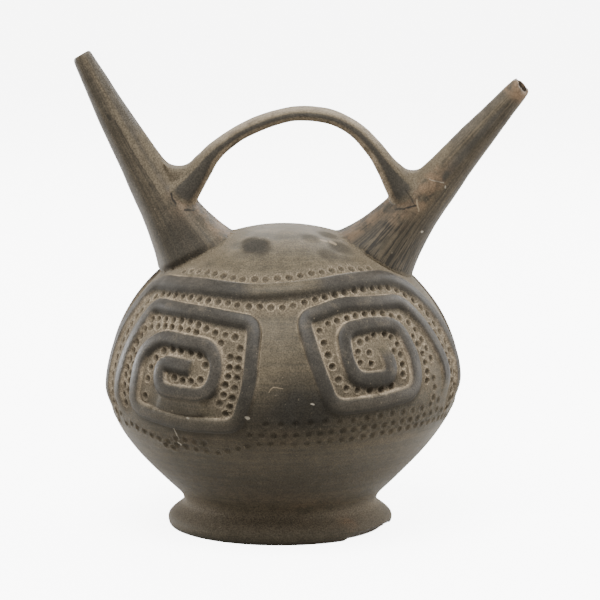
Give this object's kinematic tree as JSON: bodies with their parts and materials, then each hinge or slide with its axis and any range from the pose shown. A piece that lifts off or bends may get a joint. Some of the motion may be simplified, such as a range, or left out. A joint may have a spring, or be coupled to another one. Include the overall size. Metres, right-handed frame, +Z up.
{
  "type": "bridge-spout vessel",
  "caption": "Hollow burnished clay vessel on a ring foot, with spiral bands round its belly and two slanted spouts joined by an arched strap handle.",
  "frame": {"origin": "middle of the vessel's outer box, on the surface that its foot stands on", "axes": "+Z up, +X towards the more slanted spout, -Y towards the carved front"},
  "size_m": [0.1896, 0.1484, 0.1999],
  "materials": {
    "burnished_clay": "hand-burnished, smoke-blackened earthenware, semi-matt, with pale dust in the recesses"
  },
  "bodies": {
    "root": {"vessel": "burnished_clay"}
  },
  "joints": []
}
